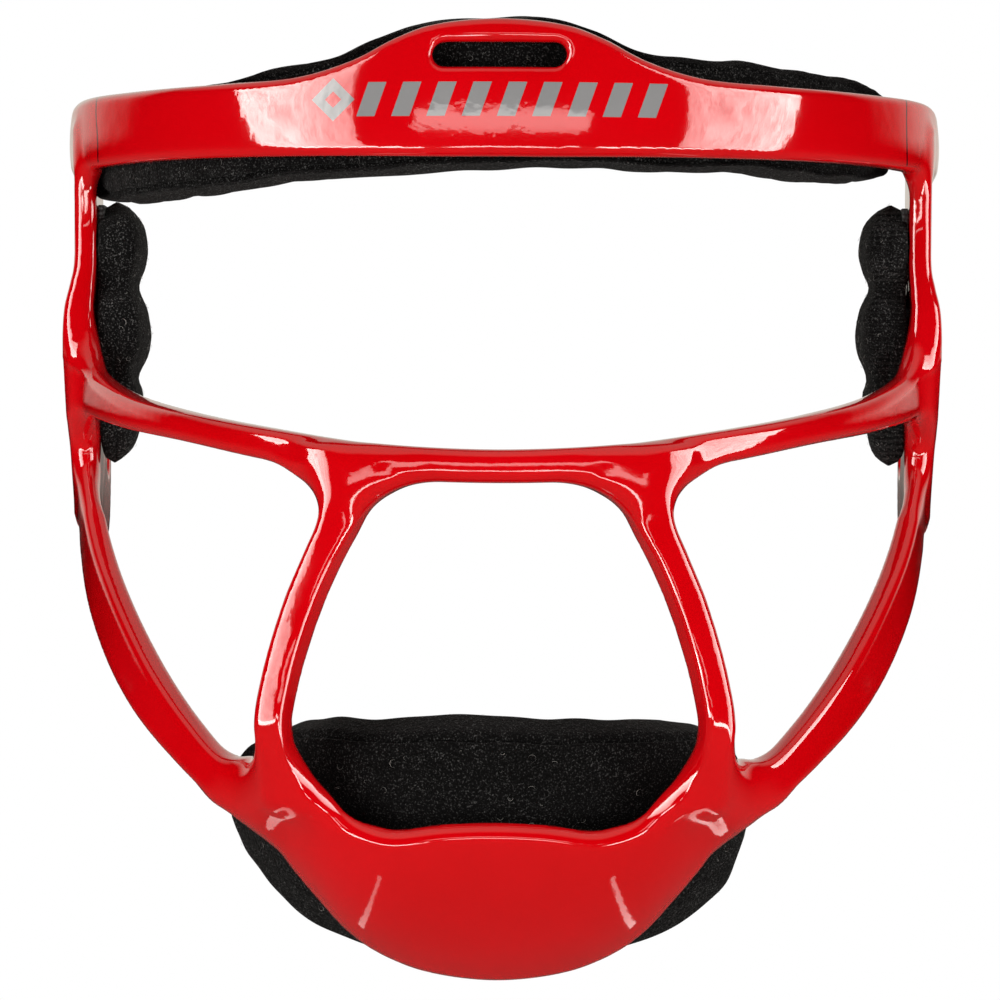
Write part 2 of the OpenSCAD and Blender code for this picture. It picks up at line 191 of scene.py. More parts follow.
# Chin guard: top edge, bottom edge, bow
GUARD = [
    ((0, -57, -63.4), (0, -30, -94), 3.6), ((9.5, -56.6, -63.8), (12.4, -30.4, -92.6), 3.6),
    ((19.4, -55.4, -65), (21.4, -31.4, -89.3), 3.2), ((26.4, -54.2, -63.2), (28.4, -33, -84.6), 2.6),
    ((33, -52.8, -59.4), (34.8, -35, -77.6), 2.0), ((38, -51.4, -55), (41.4, -37.2, -69.8), 1.4),
    ((43, -48.6, -51.6), (47.4, -38, -64.4), 0.8), ((47.4, -45, -50.4), (52.4, -37.4, -60.2), 0.4),
]
GUARD_WALL = 4.0
PLATE_WALL, PLATE_WALL_GROWTH = 4.2, 0.8


def strips_of_frame():
    """Name to (strip, outer edge radius, inner edge radius, draft)."""
    brow = both_sides([upright(*r, BROW_WALL, BROW_BOW) for r in BROW])
    mid = both_sides([upright(*r) for r in MID_BAR])
    plate = [
        station((x, f, z), (x, r, z), PLATE_WALL + PLATE_WALL_GROWTH * (x - PLATE[0][0]))
        for x, f, r, z in PLATE
    ]
    guard = both_sides([station(a, b, GUARD_WALL, bow) for a, b, bow in GUARD])
    nose, jaw = bar_stations(NOSE_BAR), bar_stations(JAW_BAR)
    return {
        "brow": (Strip(smooth(brow, STRIP_RINGS)), 1.5, 1.2, 0.0),
        "mid": (Strip(smooth(mid, STRIP_RINGS)), 2.2, 1.6, 0.0),
        "plate": (Strip(smooth(plate, STRIP_RINGS)), 1.6, 1.4, 0.0),
        "guard": (Strip(smooth(guard, STRIP_RINGS)), 1.7, 1.3, 0.0),
        "nose": (Strip(smooth(nose, STRIP_RINGS)), 1.1, 1.4, 0.15),
        "jaw": (Strip(smooth(jaw, STRIP_RINGS)), 1.6, 1.4, 0.0),
    }


# ---- The casting as one smooth solid -------------------------
# Each strip gives every point a distance and the direction that distance grows in. Where
# two walls meet at an angle a wide fillet joins them, and where they lie flush almost none.

FAR = 40.0          # distance given to points that a strip doesn't reach
REACH = 17.0        # how far out a strip's distance is worked out
NEAR_ZERO = 1e-6
SEARCH_STEPS = 14       # at most so many rings on from the nearest one
BOW_PAST_EDGE = 1.15    # how far past its edges, in half-widths, a face goes on bowing


def rounded_box(x, y, half_x, half_y, outer, inner):
    """Distance to a rectangle centred on the origin, and its direction, as (d, dx, dy).
    Corners at negative y are rounded by outer, those at positive y by inner."""
    r = np.where(y < 0, outer, inner)
    qx = np.abs(x) - half_x + r
    qy = np.abs(y) - half_y + r
    ox, oy = np.maximum(qx, 0), np.maximum(qy, 0)
    out = np.hypot(ox, oy)
    d = out + np.minimum(np.maximum(qx, qy), 0) - r
    outside = out > NEAR_ZERO
    safe = np.where(outside, out, 1)
    dx = np.where(outside, ox / safe, qx > qy) * np.sign(x)
    dy = np.where(outside, oy / safe, qx <= qy) * np.sign(y)
    return d, dx, dy


def locate(strip, p):
    """The stretch between two rings that each point lies in, how far along it, and how far
    past the strip's end."""
    c, n = strip.middle, strip.forward
    gap = (p**2).sum(1)[:, None] - 2 * p @ c.T + (c**2).sum(1)
    i = np.minimum(gap.argmin(1), len(c) - 2)
    for _ in range(SEARCH_STEPS):
        behind = ((p - c[i]) * n[i]).sum(1) < 0
        ahead = ((p - c[i + 1]) * n[i + 1]).sum(1) > 0
        step = np.where(behind, -1, np.where(ahead, 1, 0))
        moved = np.clip(i + step, 0, len(c) - 2)
        if (moved == i).all():
            break
        i = moved
    s0 = ((p - c[i]) * n[i]).sum(1)
    s1 = ((p - c[i + 1]) * n[i + 1]).sum(1)
    past = np.where((i == 0) & (s0 < 0), -s0, np.where((i == len(c) - 2) & (s1 > 0), s1, 0))
    span = s0 - s1
    t = np.clip(s0 / np.where(np.abs(span) < NEAR_ZERO, 1, span), 0, 1)
    return i, t, past


def strip_field(part, p):
    """Each point's distance from one strip, and the direction that it grows in."""
    strip, outer, inner, draft = part
    i, t, past = locate(strip, p)
    w = t[:, None]

    def at(values):
        return values[i] * (1 - w) + values[i + 1] * w

    c, u, v = at(strip.middle), unit(at(strip.across)), unit(at(strip.inward))
    ring = at(strip.rings)
    width = strip.width[i] * (1 - t) + strip.width[i + 1] * t
    x = ((p - c) * u).sum(1)
    q = np.clip(2 * x / width, -BOW_PAST_EDGE, BOW_PAST_EDGE)
    y = ((p - c) * v).sum(1) + ring[:, BOW] * (1 - q * q)
    half_y = ring[:, WALL] / 2
    half_x = width / 2 - draft * np.clip(ring[:, WALL] - y, 0, ring[:, WALL])
    d, dx, dy = rounded_box(x, y - half_y, half_x, half_y, outer, inner)
    g = u * dx[:, None] + v * dy[:, None]
    # the end is rounded over
    n = unit(np.cross(u, v))
    way = np.sign(((p - c) * n).sum(1))[:, None]
    full = np.hypot(np.maximum(d, 0), past)
    lean = np.where(past > NEAR_ZERO, past / np.maximum(full, NEAR_ZERO), 0)[:, None]
    g = unit(g * np.sqrt(np.clip(1 - lean**2, 0, 1)) + n * way * lean)
    return np.where(past > NEAR_ZERO, full, d), g


def join(d, g, e, h, fillet, flush=2.6):
    """Union of two solids. The fillet is widest where their faces stand square."""
    square = np.clip(1 - (g * h).sum(1), 0, 1)
    k = flush + (fillet - flush) * square
    m = np.maximum(k - np.abs(d - e), 0) / k
    low = np.minimum(d, e) - m * m * k / 4
    share = np.clip(0.5 + (e - d) / (2 * k), 0, 1)[:, None]
    return low, unit(g * share + h * (1 - share) + 1e-9)


def groove(d, other, k):
    """d cut by another solid, with the rim rounded by about k."""
    e = -other
    m = np.maximum(k - np.abs(d - e), 0) / k
    return np.maximum(d, e) + m * m * k / 4


SLOT_LENGTH, SLOT_WIDTH = 26.0, 4.8
SLOT_RIM = 1.6
TOP_SLOT = sized((0, -38, 86))
TOP_SLOT_ENDS = -20         # the top slot cuts only what is in front of this Y
SIDE_SLOT = sized((85.7, 50, 18.7))
SIDE_SLOT_STARTS = 60       # the side slots cut only what is further out than this X


def oblong(along, over, centre_along, centre_over):
    """Distance from a slot's round-ended outline."""
    run = (SLOT_LENGTH - SLOT_WIDTH) / 2
    a = np.maximum(np.abs(along - centre_along) - run, 0)
    return np.hypot(a, over - centre_over) - SLOT_WIDTH / 2


# The order that the strips are joined in: strip, width of its fillet with those before it
ORDER = [
    ("plate", 0), ("brow", 5), ("mid", 10), ("jaw", 8), ("guard", 10), ("nose", 13),
]


def casting(points, parts):
    """Distance of each point from the frame's surface, negative inside."""
    p = points.copy()
    p[:, 0] = np.abs(p[:, 0])
    d = np.full(len(p), FAR)
    g = np.tile([1.0, 0, 0], (len(p), 1))
    for name, fillet in ORDER:
        strip = parts[name][0]
        low = np.minimum(strip.rings[:, A], strip.rings[:, B]).min(0) - REACH
        high = np.maximum(strip.rings[:, A], strip.rings[:, B]).max(0) + REACH
        near = np.flatnonzero(((p > low) & (p < high)).all(1))
        if not len(near):
            continue
        e, h = strip_field(parts[name], p[near])
        if fillet:
            e, h = join(d[near], g[near], e, h, fillet)
        d[near], g[near] = e, h
    top = oblong(p[:, 0], p[:, 2], TOP_SLOT[0], TOP_SLOT[2])
    d = groove(d, np.maximum(top, p[:, 1] - TOP_SLOT_ENDS), SLOT_RIM)
    side = oblong(p[:, 2], p[:, 1], SIDE_SLOT[2], SIDE_SLOT[1])
    return groove(d, np.maximum(side, SIDE_SLOT_STARTS - p[:, 0]), SLOT_RIM)


# ---- From the distance field to a mesh -----------------------

CELL = 0.77
COARSE = 4              # cells of the fine grid to one of the coarse grid, along each side
NEAR_WALL = 1.25        # coarse cells within this many of their own sizes are refined
SETTLE_ROUNDS = 6
SLIDE = 0.6             # share of the way to its neighbours' middle that a vertex moves
NORMAL_REACH = 0.35     # how far apart the samples for a shading normal lie
NORMAL_ROUNDS = 2       # times each vertex normal is averaged with its neighbours
# Joints where several bars run together and the cast metal has flowed smooth: middle, radius
MELTS = (
    ((43, -49, -54), 13), ((46, -43, -61), 14), ((35, -50, -61), 13), ((28, -53, 4), 9),
    ((84, 20, 4), 14), ((87, 24, 28), 11),
)
MELT_ROUNDS = 23


def grid_values(parts):
    """Grid axes and the field on them, for the right half, worked out only near the wall."""
    pad = 3 * CELL
    step = CELL * COARSE
    start = np.array([0, *(frame_low[1:] - pad)])
    blocks = np.ceil((frame_high + pad - start) / step).astype(int)
    axes = [start[a] + np.arange(blocks[a] * COARSE + 1) * CELL for a in range(3)]
    coarse = [axis[::COARSE] for axis in axes]
    shape = [len(axis) for axis in coarse]
    points = np.stack(np.meshgrid(*coarse, indexing="ij"), -1).reshape(-1, 3)
    rough = casting(points, parts).reshape(shape)
    field = rough
    for a in range(3):
        field = np.repeat(field, COARSE, axis=a)
        field = np.take(field, np.arange(len(axes[a])), axis=a)
    close = np.abs(rough) < step * NEAR_WALL
    busy = np.zeros([n - 1 for n in shape], bool)
    for dx in (0, 1):
        for dy in (0, 1):
            for dz in (0, 1):
                busy |= close[dx:shape[0] - 1 + dx, dy:shape[1] - 1 + dy, dz:shape[2] - 1 + dz]
    fine = np.zeros([len(axis) for axis in axes], bool)
    cells = np.argwhere(busy) * COARSE
    for dx in range(COARSE + 1):
        for dy in range(COARSE + 1):
            for dz in range(COARSE + 1):
                fine[cells[:, 0] + dx, cells[:, 1] + dy, cells[:, 2] + dz] = True
    where = np.argwhere(fine)
    points = np.stack([axes[a][where[:, a]] for a in range(3)], 1)
    field = field.copy()
    field[tuple(where.T)] = casting(points, parts)
    return axes, field


def surface_net(axes, field):
    """Vertices and quads of the zero surface, one vertex in each cell it crosses."""
    inside = field < 0
    n = [s - 1 for s in field.shape]
    corners = [(dx, dy, dz) for dx in (0, 1) for dy in (0, 1) for dz in (0, 1)]

    def shifted(values, c):
        return values[c[0]:c[0] + n[0], c[1]:c[1] + n[1], c[2]:c[2] + n[2]]

    count = sum(shifted(inside, c).astype(np.int8) for c in corners)
    cells = np.argwhere((count > 0) & (count < 8))
    total = np.zeros((len(cells), 3))
    hits = np.zeros(len(cells))
    for c in corners:
        for axis in range(3):
            if c[axis]:
                continue
            e = list(c)
            e[axis] = 1
            a = field[tuple((cells + c).T)]
            b = field[tuple((cells + e).T)]
            cross = (a < 0) != (b < 0)
            t = np.where(cross, a / np.where(cross, a - b, 1), 0)
            spot = np.array(c, float) + np.outer(t, np.eye(3)[axis])
            total[cross] += spot[cross]
            hits[cross] += 1
    local = cells + total / hits[:, None]
    start = np.array([axis[0] for axis in axes])
    step = np.array([axis[1] - axis[0] for axis in axes])
    vertices = start + local * step
    number = np.full(n, -1)
    number[tuple(cells.T)] = np.arange(len(cells))
    quads = []
    for axis in range(3):
        o1, o2 = (axis + 1) % 3, (axis + 2) % 3
        low = [slice(1, -1)] * 3
        high = [slice(1, -1)] * 3
        low[axis], high[axis] = slice(0, -1), slice(1, None)
        a, b = inside[tuple(low)], inside[tuple(high)]
        edges = np.argwhere(a != b)
        outward = a[tuple(edges.T)]
        base = edges.copy()
        base[:, o1] += 1
        base[:, o2] += 1
        ring = []
        for d1, d2 in ((1, 1), (0, 1), (0, 0), (1, 0)):
            cell = base.copy()
            cell[:, o1] -= d1
            cell[:, o2] -= d2
            ring.append(number[tuple(cell.T)])
        ring = np.stack(ring, 1)
        quads.append(np.where(outward[:, None], ring, ring[:, ::-1]))
    return vertices, np.concatenate(quads)


TETRA = np.array([(1, -1, -1), (-1, -1, 1), (-1, 1, -1), (1, 1, 1)], float)


def slope(points, parts, reach=0.04):
    """Distance and unit gradient at each point, from four samples round it."""
    d = np.zeros(len(points))
    g = np.zeros_like(points)
    for corner in TETRA:
        sample = casting(points + corner * reach, parts)
        d += sample / 4
        g += sample[:, None] * corner / (4 * reach)
    return d, g


def melt_share(vertices):
    """How far each vertex is smoothed, from 0 to 1."""
    folded = vertices.copy()
    folded[:, 0] = np.abs(folded[:, 0])
    share = np.zeros(len(vertices))
    for middle, radius in MELTS:
        away = np.linalg.norm(folded - sized(middle), axis=1)
        t = np.clip(2 - 2 * away / radius, 0, 1)
        share = np.maximum(share, t * t * (3 - 2 * t))
    return share[:, None]


def mesh_normals(vertices, quads):
    a, b, c, d = (vertices[quads[:, k]] for k in range(4))
    each = np.cross(c - a, d - b)
    total = [
        np.bincount(quads.ravel(), np.repeat(each[:, axis], 4), len(vertices)) for axis in range(3)
    ]
    return unit(np.stack(total, 1))


def settled(vertices, quads, parts):
    """Vertices slid evenly over the surface and dropped back onto it, then the joints melted."""
    edges = np.concatenate([quads[:, [k, (k + 1) % 4]] for k in range(4)])
    degree = np.bincount(edges[:, 0], minlength=len(vertices))[:, None]

    def averaged(values):
        return np.stack(
            [np.bincount(edges[:, 0], values[edges[:, 1], a], len(values)) for a in range(3)], 1
        ) / degree

    for k in range(SETTLE_ROUNDS):
        d, g = slope(vertices, parts)
        length = np.maximum((g * g).sum(1), 0.25)
        vertices = vertices - g * (np.clip(d, -CELL, CELL) / length)[:, None]
        if k == SETTLE_ROUNDS - 1:
            break
        pull = averaged(vertices) - vertices
        normal = unit(g)
        vertices = vertices + SLIDE * (pull - normal * (pull * normal).sum(1, keepdims=True))
    _, g = slope(vertices, parts, NORMAL_REACH)
    share = melt_share(vertices)
    for _ in range(MELT_ROUNDS):
        vertices = vertices + SLIDE * share * (averaged(vertices) - vertices)
    normal = unit(unit(g) * (1 - share) + mesh_normals(vertices, quads) * share)
    for _ in range(MELT_ROUNDS // 2):
        normal = unit(normal + share * averaged(normal))
    for _ in range(NORMAL_ROUNDS):
        normal = unit(normal + averaged(normal))
    return vertices, normal


def half_to_whole(axes, field):
    """The right half's grid and field, with their mirror image on the left."""
    axes = [np.concatenate([-axes[0][:0:-1], axes[0]]), axes[1], axes[2]]
    return axes, np.concatenate([field[:0:-1], field])


def new_object(name, vertices, faces):
    """A smooth-shaded mesh object from points in millimetres."""
    mesh = bpy.data.meshes.new(name)
    mesh.from_pydata((vertices * MM).tolist(), [], faces)
    mesh.update()
    mesh.shade_smooth()
    obj = bpy.data.objects.new(name, mesh)
    bpy.context.scene.collection.objects.link(obj)
    return obj


def make_frame():
    parts = strips_of_frame()
    axes, field = half_to_whole(*grid_values(parts))
    vertices, quads = surface_net(axes, field)
    vertices, normals = settled(vertices, quads, parts)
    obj = new_object("cast_frame", vertices, quads.tolist())
    obj.data.normals_split_custom_set_from_vertices(normals.tolist())
    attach(obj, "mask_frame")
    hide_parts("frame")
    return obj


# ---- Pads ----------------------------------------------------
# Each pad follows a guide strip that lies on the frame's outer face. Behind the wall come
# the hooks, the loop backing, and then the foam core inside its sewn cover.

HOOK_STACK = 1.9      # glue film, hook patch and the gap left for the pile
BACKING = 1.0
SKIN = 1.0            # fabric of a cover
HEM = 2.75            # how far a cover's hem stands down round its backing
CLEARANCE = 0.15      # between a pad's backing, cover and core
COVER_AT = HOOK_STACK + BACKING + CLEARANCE
PAD_GAP = 1.1       # between a cover's rings
COVER_POINTS, CORE_POINTS, SHEET_POINTS = 84, 40, 48      # round a section
SWAY, LUMP_SIZE = 0.35, 0.22          # how far a pad wanders sideways and how far it's pushed
FIBRES, SIDE_FIBRES = 400, 90         # loose ones on a long pad's cover and on a side pad's
CROWN_FROM, BACK_UP_TO = 0.3, 0.1     # depths between which a pad's edge has no loose fibres
# Forehead pad on the brow's surface: x, y, top, bottom, thickness
FOREHEAD = [
    (0, -40, 93.6, 64, 12), (14, -39.3, 93, 64, 12), (22, -38, 90.8, 63.8, 12),
    (31, -36, 87.2, 63.4, 12), (43, -31.6, 85.2, 63, 12), (56, -24.4, 84, 62.5, 12),
    (68, -13.8, 83.2, 61.9, 12), (77, -1.4, 82.4, 61.5, 11.8), (82.6, 10, 80.6, 61.8, 10.8),
    (85.4, 17, 78.4, 63.2, 8.8), (86.3, 22.5, 75.5, 65, 6.4),
]
FOREHEAD_WALL = 4.2
FOREHEAD_TILT, FOREHEAD_RISE = math.radians(1.9), 0.4     # stuck on askew, high on the right
SIDE_FACE, SIDE_WALL = 86.8, 4.2
# Side pad from its tail up: front, rear, z, thickness
SIDE = [
    (27, 31, 7.2, 1.4), (23, 35, 10.5, 3.8), (18.5, 38.5, 17, 5.0), (16.5, 40, 22, 5.2),
    (17.5, 39, 25.4, 4.5), (14.5, 42, 30, 6.4), (14, 43, 34.5, 7.0), (14.5, 42, 39, 6.5),
    (17.5, 39, 43.4, 4.6), (15, 41, 47.6, 5.8), (14.5, 41, 51.8, 6.2), (16, 40, 56, 5.4),
    (19, 37, 59, 3.9), (23, 33, 60.6, 2.4),
]
# Chin pad on the guard's surface: top edge, bottom edge, bow, thickness
CHIN = [
    ((0, -56, -48.8), (0, -27.6, -94.4), 6.4, 11),
    ((14, -55, -48.6), (14.4, -28, -93.2), 6.2, 11),
    ((26.6, -51.2, -48.0), (27, -28, -90.6), 5.4, 11),
    ((38, -45.2, -47.4), (38.2, -27, -86), 4.2, 11),
    ((46.4, -37.8, -47.4), (46.6, -25.2, -79.8), 3, 10.6),
    ((52.6, -29.8, -48.6), (52.6, -22.6, -72.6), 2, 9.5),
    ((57, -22.6, -51), (56.8, -19.6, -66.4), 1, 7.5),
]
# Its right end stops short of the left one
CHIN_RIGHT_END = [
    ((50.6, -32.6, -49.4), (50.4, -23.6, -74.6), 2.4, 9.8),
    ((53.6, -28.4, -52.4), (53.4, -21.8, -67.4), 1.5, 7.5),
]


def waves(s, seed, count=4, longest=60.0):
    """A smooth wandering value of about -1 to 1 along s, the same each run."""
    rng = np.random.default_rng(seed)
    total = 0
    for k in range(count):
        length = longest / (k + 1) * rng.uniform(0.8, 1.2)
        total = total + np.sin(2 * np.pi * (s / length + rng.uniform())) / (k + 1)
    return total / 1.4


def even_rings(stations, gap):
    """The strip resampled so that its rings are about gap apart."""
    rings = smooth(stations, 24)
    middle = (rings[:, A] + rings[:, B]) / 2
    length = np.concatenate([[0], np.cumsum(np.linalg.norm(np.diff(middle, axis=0), axis=1))])
    count = max(8, int(length[-1] / gap))
    want = np.linspace(0, length[-1], count + 1)
    even = [np.interp(want, length, rings[:, k]) for k in range(rings.shape[1])]
    return np.stack(even, 1), want


def pad_profile(count, seam):
    """Half-width, depth, seam pinch and hem of points round a pad's section, from the middle
    of the back round to it again. Depth 0 is the flat back face and 1 the crown. The low powers
    square off the back, the higher ones round the crown, and the bells place seam and hem."""
    turn = np.linspace(0, 2 * np.pi, count, endpoint=False) - np.pi / 2
    c, s = np.cos(turn), np.sin(turn)
    across = np.sign(c) * np.abs(c) ** np.where(s < 0, 0.22, 0.52)
    depth = np.where(s < 0, 0.42 * (1 - np.abs(s) ** 0.3), 0.42 + 0.58 * np.abs(s) ** 0.62)
    pinch = seam * np.exp(-((depth - 0.2) / 0.07) ** 2) * (np.abs(across) > 0.8)
    rim = np.exp(-((np.abs(across) - 0.93) / 0.035) ** 2) * (s < 0)
    return across, depth, pinch, rim


def pillow(stations, base, inset, gap, count, end_round, ripple, seam=0.0, skirt=0.0, trim=0.0):
    """Points and faces of a closed pad along a guide strip, everything in by inset and its
    two long edges by trim as well. The skirt is a hem that stands down round the back.
    ripple is two functions: the sway sideways at a length, and a push of the points."""
    sway, push = ripple
    rings, s = even_rings(stations, gap)
    strip = Strip(rings)
    length = s[-1]
    edge = np.minimum(s, length - s)
    reach = np.clip((edge - inset) / end_round, 0.0, 1)
    taper = (1 - (1 - reach) ** 2.4) ** (1 / 2.2)       # nearly a quarter ellipse at each end
    keep = np.flatnonzero(edge >= 3 * inset + trim)
    across, depth, pinch, rim = pad_profile(count, seam)
    points = []
    for i in keep:
        half = np.maximum(strip.width[i] / 2 - inset - trim, 0.6) * taper[i]
        thick = np.maximum(rings[i, MORE] - 2 * inset, 0.5) * (0.25 + 0.75 * taper[i])
        x = across * (half - pinch) + sway(s[i])
        y0 = rings[i, WALL] + base + inset
        crown = thick * (1 + 0.04 * np.sin(s[i] / 7))
        low = rings[i, BOW] * (1 - np.clip(2 * x / strip.width[i], -1, 1) ** 2)
        y = y0 + depth * crown - low - skirt * rim * taper[i]
        points.append(strip.middle[i] + x[:, None] * strip.across[i] + y[:, None] * strip.inward[i])
    points = np.array(points)
    points = points + push(points)
    n, m = points.shape[:2]
    k = np.arange(m)
    faces = []
    for i in range(n - 1):
        a, b = i * m, (i + 1) * m
        faces += [(a + p, a + q, b + q, b + p) for p, q in zip(k, (k + 1) % m)]
    ends = np.array([points[0].mean(0), points[-1].mean(0)])
    first, last = n * m, n * m + 1
    faces += [(first, q, p) for p, q in zip(k, (k + 1) % m)]
    faces += [(last, (n - 1) * m + p, (n - 1) * m + q) for p, q in zip(k, (k + 1) % m)]
    return np.concatenate([points.reshape(-1, 3), ends]), faces


def lumps(seed, size, count=12, shortest=9, longest=26):
    """A slow random push of each point, the same each run."""
    rng = np.random.default_rng(seed)
    swells = []
    for _ in range(count):
        way = rng.normal(size=3) * 2 * np.pi / rng.uniform(shortest, longest)
        swells.append((way, rng.uniform(0, 6.28), rng.normal(size=3)))

    def push(points):
        total = 0
        for way, phase, lean in swells:
            total = total + np.sin(points @ way + phase)[..., None] * lean
        return total * size / math.sqrt(count)

    return push


FIBRE_THICK = 0.03                # radius of a fibre's middle
FIBRE_TIP = 0.4                   # share of that at its two ends
FIBRE_CURL = (0.25, 0.8)          # radius of its curl
FIBRE_SWEEP = 6.0                 # radians round its curl, times a second draw like the first
FIBRE_FLOAT = 0.04                # its ends' height over the fabric
FIBRE_LIFT = (0.05, 0.35)         # its middle's height over its ends
FIBRE_STEPS = 8
FIBRE_SIDES = 3


def loose_fibres(name, body, points, faces, count, seed):
    """Short curled threads lying loose on the fabric, on the faces that can be seen."""
    rng = np.random.default_rng(seed)
    quads = np.array(faces)
    a, b, c, d = (points[quads[:, k]] for k in range(4))
    way = np.cross(c - a, d - b)
    size = np.linalg.norm(way, axis=1)
    way = way * np.sign(((a + c) / 2 * way).sum() - (points.mean(0) * way).sum())
    pick = rng.choice(len(quads), count, p=size / size.sum())
    u, v = rng.uniform(size=(2, count, 1))
    root = (a[pick] * (1 - u) + b[pick] * u) * (1 - v) + (d[pick] * (1 - u) + c[pick] * u) * v
    up = unit(way[pick])
    one = unit(np.cross(up, rng.normal(size=(count, 3))))
    two = np.cross(up, one)
    radius, sweep = rng.uniform(*FIBRE_CURL, (2, count, 1))
    sweep = sweep * FIBRE_SWEEP
    lift = rng.uniform(*FIBRE_LIFT, (count, 1))
    steps = np.linspace(0, 1, FIBRE_STEPS)
    path = []
    for t in steps:
        curl = radius * (np.cos(sweep * t) * one + np.sin(sweep * t) * two)
        path.append(root + curl + (FIBRE_FLOAT + lift * math.sin(math.pi * t)) * up)
    path = np.stack(path, 1)
    along = unit(np.gradient(path, axis=1))
    flank = unit(np.cross(along, up[:, None] + 0 * along))
    over = np.cross(flank, along)
    thin = FIBRE_THICK * (1 - (1 - FIBRE_TIP) * np.abs(2 * steps - 1))[None, :, None]
    turns = [2 * math.pi * k / FIBRE_SIDES for k in range(FIBRE_SIDES)]
    ring = [path + thin * (math.cos(turn) * flank + math.sin(turn) * over) for turn in turns]
    vertices = np.stack(ring, 2).reshape(-1, 3)
    n = FIBRE_SIDES
    sides = [(k, (k + 1) % n) for k in range(n)]
    tube = [
        (n * k + p, n * k + q, n * k + n + q, n * k + n + p)
        for k in range(FIBRE_STEPS - 1) for p, q in sides
    ]
    each = n * FIBRE_STEPS
    tube += [tuple(reversed(range(n))), tuple(range(each - n, each))]
    out = []
    for start in range(0, len(vertices), each):
        out += [tuple(start + k for k in face) for face in tube]
    threads = new_object(name + "_loose_fibres", vertices, out)
    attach(threads, body)
    return threads


def inverted(faces, offset):
    """The faces of an inner wall, turned round, for vertices that come after offset others."""
    return [tuple(v + offset for v in reversed(f)) for f in faces]


def side_faces(faces, count, wanted):
    """A pillow's faces without its two ends, from the points of its section that are wanted."""
    return [f for f in faces[:-2 * count] if wanted[f[0] % count]]


def make_pad(name, stations, end_round, seed, move=None, hem=HEM, seam=0.55, trim=2.4, fibres=FIBRES):
    """Backing, foam and cover of one pad. move places and bends the finished points."""
    move = move or (lambda points: points)
    ripple = (lambda s: SWAY * waves(s, seed), lumps(seed, LUMP_SIZE))
    outer, outer_faces = pillow(
        stations, COVER_AT, 0, PAD_GAP, COVER_POINTS, end_round, ripple, seam, hem
    )
    room, room_faces = pillow(
        stations, COVER_AT, SKIN, 3 * PAD_GAP, CORE_POINTS, end_round, ripple
    )
    core, core_faces = pillow(
        stations, COVER_AT, SKIN + CLEARANCE, 3 * PAD_GAP, CORE_POINTS, end_round, ripple
    )
    thin = [np.concatenate([s[:MORE], [BACKING]]) for s in stations]
    sheet, sheet_faces = pillow(
        thin, HOOK_STACK, 0, PAD_GAP, SHEET_POINTS, end_round, ripple, trim=trim
    )
    walls = move(np.concatenate([outer, room]))
    wall_faces = outer_faces + inverted(room_faces, len(outer))
    pieces = {
        "_cover": new_object(name + "_cover_sewn", walls, wall_faces),
        "_foam": new_object(name + "_foam_core", move(core), core_faces),
        "_backing": new_object(name + "_loop_sheet", move(sheet), sheet_faces),
    }
    for node, slot in (("_cover", "pad_fabric"), ("_foam", "foam"), ("_backing", "loop_backing")):
        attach(pieces[node], name)
        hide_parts(name + node)
    cover_depth, sheet_depth = (pad_profile(n, 0)[1] for n in (COVER_POINTS, SHEET_POINTS))
    crown = side_faces(outer_faces, COVER_POINTS, cover_depth > CROWN_FROM)
    back = side_faces(sheet_faces, SHEET_POINTS, sheet_depth < BACK_UP_TO)
    pieces["_fibres"] = loose_fibres(name, name, move(outer), crown, fibres, seed + 40)
    pieces["_lint"] = loose_fibres(name + "_front", name, move(sheet), back, fibres // 5, seed + 60)
    return pieces


# ---- Materials -----------------------------------------------


